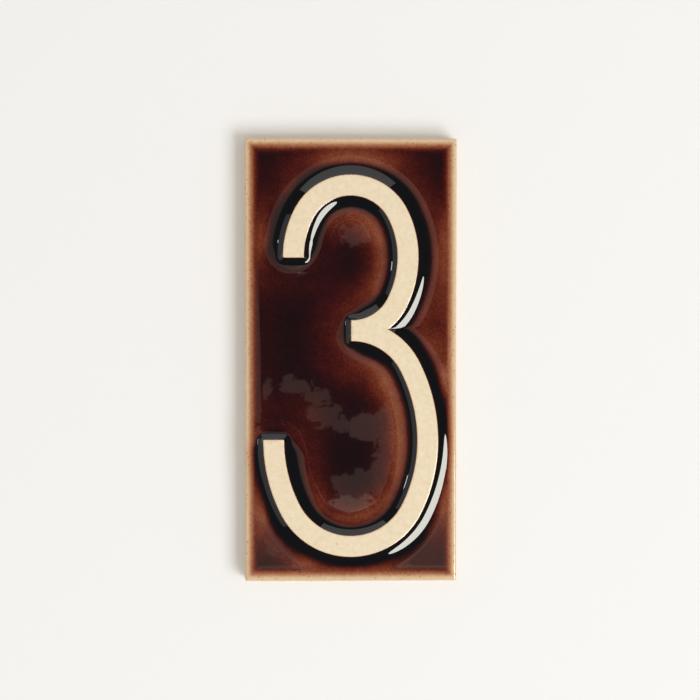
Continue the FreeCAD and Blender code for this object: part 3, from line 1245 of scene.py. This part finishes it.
@dataclass(frozen=True)
class Studio:
    """Soft daylight from a window at the lower right, a pale room, a wall and a floor."""

    wall: PaintedPlaster = PaintedPlaster()
    ambient: tuple[float, float, float] = (0.62, 0.595, 0.565)  # linear light, as all five here
    gloss_base: tuple[float, float, float] = (0.15, 0.105, 0.125)  # mirrored inside the ring
    far_base: tuple[float, float, float] = (0.105, 0.13, 0.15)  # and beyond it
    ring_colour: tuple[float, float, float] = (0.74, 0.49, 0.43)
    ring_low_colour: tuple[float, float, float] = (1.15, 0.8, 0.66)  # the paler floor of the room
    ring_centre: float = 0.09  # places in the mirrored room are slopes of the ray, up and across
    ring_inner: float = 0.188
    ring_outer: float = 0.36
    ring_shift: float = -0.05  # its outer edge lies this far to the side of its middle
    ring_step: float = 0.012  # the ring starts at once and fades out slowly
    ring_fade: float = 0.12
    ring_left: float = 0.72  # the left of the room is darker by this factor
    left_fade: float = 0.1
    floor_line: float = -0.145  # below this slope the room's pale floor shows
    floor_fade: float = 0.03
    patch_fade: float = 0.12
    least_ahead: float = 0.05  # a ray goes at least this far forward, so that it has a slope
    view_distance: float = 793.0  # millimetres from the camera to the flat glaze
    view_middle: float = 4.3  # height of the camera above the tile's middle
    jag: float = 3.5  # size of the steps in the outlines of the patches
    jag_shift: float = 1.2  # how far a step moves at most, as a share of its size
    patches: tuple[RoomPatch, ...] = (
        RoomPatch(-42.0, -15.0, 4.5, 4.0, 0.75),
        RoomPatch(-26.5, -13.5, 7.5, 4.5, 0.75),
        RoomPatch(-15.5, -18.0, 5.5, 4.0, 0.7),
        RoomPatch(-12.0, -27.0, 8.0, 5.0, 0.7),
        RoomPatch(-5.0, -32.0, 4.5, 4.5, 0.75),
        RoomPatch(8.0, -33.0, 9.0, 7.0),
        RoomPatch(17.5, -38.0, 4.5, 18.0),
        RoomPatch(15.0, -55.0, 6.5, 9.0),
        RoomPatch(4.5, -60.0, 13.0, 6.5, 0.75),
        RoomPatch(0.5, -70.5, 12.0, 5.5, 2.0),
        RoomPatch(4.5, 60.0, 9.0, 5.5),
        RoomPatch(-33.0, -90.0, 9.0, 5.0, 1.2),
    )
    floor_level: float = -0.45  # metres, as are the next five
    floor_depth: float = 2.5
    wall_top: float = 1.6
    wall_reach: float = 2.0  # to each side
    wall_gap: float = 0.0002  # between the tile's back and the wall
    wall_lap: float = 0.0009  # how far the wall reaches behind the tile
    cards: tuple[Card, ...] = (
        Card("window_light", Facing.WALL, (4.4, -4.5, -3.5), (4.3, 4.7), 7.6,
             (0.95, 1.0, 1.08), True),
        Card("window_gloss", Facing.WALL, (2.96, -4.0, -2.48), (3.2, 4.56), 13.0,
             (1.0, 0.985, 0.885), shape=CardShape.ELLIPSE),
        Card("ceiling_gloss", Facing.DOWN, (-0.3, -2.42, 3.0), (4.8, 4.84), 0.8),
        Card("left_gloss", Facing.RIGHT, (-3.0, -1.55, -0.5), (4.2, 3.1), 0.45),
        Card("lamp_gloss", Facing.WALL, (-3.5, -4.0, 0.7), (0.3, 0.35), 14.0),
    )

    @staticmethod
    def _step(tree: bpy.types.NodeTree, value: bpy.types.NodeSocket, place: float,
              width: float) -> bpy.types.NodeSocket:
        """Adds a soft step between 0 and 1.

        Args:
            tree: The world's node tree.
            value: What the step depends on.
            place: Its middle.
            width: Its width, which is negative for a step down.

        Returns:
            The stepped value.
        """
        low, high = place - abs(width) / 2, place + abs(width) / 2
        ends = (0.0, 1.0) if width > 0 else (1.0, 0.0)
        return add_node(tree, "ShaderNodeMapRange", {
            "Value": value, "From Min": low, "From Max": high, "To Min": ends[0],
            "To Max": ends[1]}, interpolation_type="SMOOTHSTEP").outputs[0]

    def _jagged(self, tree: bpy.types.NodeTree,
                seen: bpy.types.NodeSocket) -> bpy.types.NodeSocket:
        """Shifts the view of the room in small blocks, so that outlines in it break into steps.

        Args:
            tree: The world's node tree.
            seen: The directions, as slopes across and up.

        Returns:
            The shifted directions.
        """
        blocks = add_node(tree, "ShaderNodeTexVoronoi", {
            "Vector": seen, "Scale": self.view_distance / self.jag}, distance="CHEBYCHEV")
        shift = self.jag_shift * self.jag / self.view_distance
        return add_node(tree, "ShaderNodeVectorMath", {
            0: blocks.outputs["Color"], 1: (shift, shift, 0.0), 2: seen},
            operation="MULTIPLY_ADD").outputs[0]

    def _patch(self, tree: bpy.types.NodeTree, seen: bpy.types.NodeSocket,
               patch: RoomPatch) -> bpy.types.NodeSocket:
        """Works out how much of a patch shows in each direction.

        Args:
            tree: The world's node tree.
            seen: The directions, as slopes across and up.
            patch: The patch.

        Returns:
            Its strength inside its outline, and 0 outside.
        """
        across, up = self.view_distance / patch.half_width, self.view_distance / patch.half_height
        mean_shift = self.jag_shift * self.jag / 2
        middle = ((patch.x + mean_shift) / patch.half_width,
                  (patch.z - self.view_middle + mean_shift) / patch.half_height)
        off = add_node(tree, "ShaderNodeVectorMath", {
            0: seen, 1: (across, up, 0.0), 2: (-middle[0], -middle[1], 0.0)},
            operation="MULTIPLY_ADD")
        reach = add_node(tree, "ShaderNodeVectorMath", {0: off.outputs[0]}, operation="LENGTH")
        inside = self._step(tree, reach.outputs["Value"], 1.0, -self.patch_fade)
        return add_node(tree, "ShaderNodeMath", {0: inside, 1: patch.strength},
                        operation="MULTIPLY").outputs[0]

    def _mirrored(self, tree: bpy.types.NodeTree,
                  ray: bpy.types.NodeSocket) -> bpy.types.NodeSocket:
        """Builds what the gloss mirrors: a dark middle, a warm ring, patches and the room beyond.

        Args:
            tree: The world's node tree.
            ray: The direction of the mirrored ray.

        Returns:
            The colour socket.
        """
        parts = add_node(tree, "ShaderNodeSeparateXYZ", {0: ray}).outputs
        ahead = add_node(tree, "ShaderNodeMath", {0: parts[1], 1: -1.0}, operation="MULTIPLY")
        depth = add_node(tree, "ShaderNodeMath", {0: ahead.outputs[0], 1: self.least_ahead},
                         operation="MAXIMUM")
        across = add_node(tree, "ShaderNodeMath", {0: parts[0], 1: depth.outputs[0]},
                          operation="DIVIDE")
        up = add_node(tree, "ShaderNodeMath", {0: parts[2], 1: depth.outputs[0]},
                      operation="DIVIDE")
        seen = add_node(tree, "ShaderNodeCombineXYZ", {0: across.outputs[0], 1: up.outputs[0]})
        off_centre = add_node(tree, "ShaderNodeVectorMath", {
            0: seen.outputs[0], 1: (0.0, self.ring_centre, 0.0)}, operation="DISTANCE")
        off_edge = add_node(tree, "ShaderNodeVectorMath", {
            0: seen.outputs[0], 1: (self.ring_shift, self.ring_centre, 0.0)},
            operation="DISTANCE")
        inner = self._step(tree, off_centre.outputs["Value"], self.ring_inner, self.ring_step)
        outer = self._step(tree, off_edge.outputs["Value"], self.ring_outer, -self.ring_fade)
        side = add_node(tree, "ShaderNodeMapRange", {
            "Value": across.outputs[0], "From Min": -self.left_fade / 2,
            "From Max": self.left_fade / 2, "To Min": self.ring_left, "To Max": 1.0})
        ring = add_node(tree, "ShaderNodeMath", {0: inner, 1: outer}, operation="MULTIPLY")
        lit = add_node(tree, "ShaderNodeMath", {0: ring.outputs[0], 1: side.outputs[0]},
                       operation="MULTIPLY").outputs[0]
        jagged = self._jagged(tree, seen.outputs[0])
        for patch in self.patches:
            lit = add_node(tree, "ShaderNodeMath", {0: lit, 1: self._patch(tree, jagged, patch)},
                           operation="MAXIMUM").outputs[0]
        low = self._step(tree, up.outputs[0], self.floor_line, -self.floor_fade)
        warm = add_node(tree, "ShaderNodeMix", {
            0: low, MIX_FROM: (*self.ring_colour, 1.0), MIX_TO: (*self.ring_low_colour, 1.0)},
            data_type="RGBA")
        far = self._step(tree, off_edge.outputs["Value"], self.ring_outer, self.ring_fade)
        base = add_node(tree, "ShaderNodeMix", {
            0: far, MIX_FROM: (*self.gloss_base, 1.0), MIX_TO: (*self.far_base, 1.0)},
            data_type="RGBA")
        return add_node(tree, "ShaderNodeMix", {
            0: lit, MIX_FROM: base.outputs[MIXED], MIX_TO: warm.outputs[MIXED]},
            data_type="RGBA", clamp_factor=False).outputs[MIXED]

    def world(self) -> None:
        """Sets the room: even light, a pale background and what the gloss mirrors."""
        world = bpy.data.worlds.new("room")
        bpy.context.scene.world = world
        world.use_nodes = True
        tree = world.node_tree
        tree.nodes.clear()
        ray = add_node(tree, "ShaderNodeTexCoord").outputs["Generated"]
        path = add_node(tree, "ShaderNodeLightPath").outputs
        glossy = add_node(tree, "ShaderNodeMix", {
            0: path["Is Glossy Ray"], MIX_FROM: (*self.ambient, 1.0),
            MIX_TO: self._mirrored(tree, ray)}, data_type="RGBA")
        seen_by_camera = add_node(tree, "ShaderNodeMix", {
            0: path["Is Camera Ray"], MIX_FROM: glossy.outputs[MIXED],
            MIX_TO: linear_colour(self.wall.paint)}, data_type="RGBA")
        background = add_node(tree, "ShaderNodeBackground",
                              {"Color": seen_by_camera.outputs[MIXED], "Strength": 1.0})
        add_node(tree, "ShaderNodeOutputWorld", {"Surface": background.outputs[0]})

    def stage(self, tile_size: tuple[float, float]) -> None:
        """Puts up the wall and the floor.

        The wall shows only from the front and is open behind the tile, so the back can be seen.

        Args:
            tile_size: Width and height of the tile in metres.
        """
        material = self.wall.material()
        low, wide, tall, deep = self.floor_level, self.wall_reach, self.wall_top, self.floor_depth
        behind_tile = self.wall_gap
        side, rise = tile_size[0] / 2 - self.wall_lap, tile_size[1] / 2 - self.wall_lap
        outer = [(-wide, low), (wide, low), (wide, tall), (-wide, tall)]
        inner = [(-side, -rise), (side, -rise), (side, rise), (-side, rise)]
        sheets = {
            "wall": ([(x, behind_tile, z) for x, z in outer + inner],
                     [(place, (place + 1) % 4, (place + 1) % 4 + 4, place + 4)
                      for place in range(4)]),
            "floor": ([(-wide, -deep, low), (wide, -deep, low),
                       (wide, behind_tile, low), (-wide, behind_tile, low)], [(0, 1, 2, 3)]),
        }
        for name, (corners, faces) in sheets.items():
            mesh = bpy.data.meshes.new(name)
            mesh.from_pydata(corners, [], faces)
            mesh.materials.append(material)
            sheet = bpy.data.objects.new(name, mesh)
            bpy.context.scene.collection.objects.link(sheet)
            if name == "floor":  # it is seen, but neither lights nor shades the tile
                sheet.visible_shadow = False
                sheet.visible_diffuse = False
                sheet.visible_glossy = False
            LOG.info("%s: stage", name)

    def build(self, tile_size: tuple[float, float]) -> None:
        """Lights the room and puts up the stage.

        Args:
            tile_size: Width and height of the tile in metres.
        """
        self.world()
        self.stage(tile_size)
        for card in self.cards:
            card.build()
            LOG.info("%s: lamp", card.name)


@dataclass(frozen=True)
class StraightCamera:
    """A camera square to the tile, at the photograph's distance and framing."""

    lens: float = 85.0
    sensor: float = 36.0
    scale_depth: float = 3.0  # from the numeral's top back to the plane that is drawn to scale

    def build(self, tile_width: float, top_height: float) -> bpy.types.Object:
        """Sets the camera up.

        Args:
            tile_width: Width of the tile in millimetres.
            top_height: Height of the numeral's top.

        Returns:
            The camera object.
        """
        pixel = tile_width / TILE_PIXELS
        view_width = PHOTO_PIXELS * pixel
        distance = view_width * self.lens / self.sensor
        half = PHOTO_PIXELS / 2
        data = bpy.data.cameras.new("camera")
        data.lens, data.sensor_width = self.lens, self.sensor
        camera = bpy.data.objects.new("camera", data)
        camera.location = ((half - TILE_CENTRE_PIXEL[0]) * pixel * MM,
                           -(distance + top_height - self.scale_depth) * MM,
                           (TILE_CENTRE_PIXEL[1] - half) * pixel * MM)
        camera.rotation_euler = (math.pi / 2, 0, 0)
        bpy.context.scene.collection.objects.link(camera)
        bpy.context.scene.camera = camera
        return camera


def main() -> None:
    """Builds the tile, the room and the camera."""
    logging.basicConfig(level=logging.INFO, format="%(message)s")
    bpy.context.scene.view_settings.view_transform = "Standard"
    low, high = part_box(TILE_NODE)
    width, height = (high.x - low.x) / MM, (high.z - low.z) / MM
    top_height = -low.y / MM
    NumberTile(Slab(width, height), top_height).dress()
    StraightCamera().build(width, top_height)
    Studio().build((width * MM, height * MM))


if __name__ == "__main__":
    main()
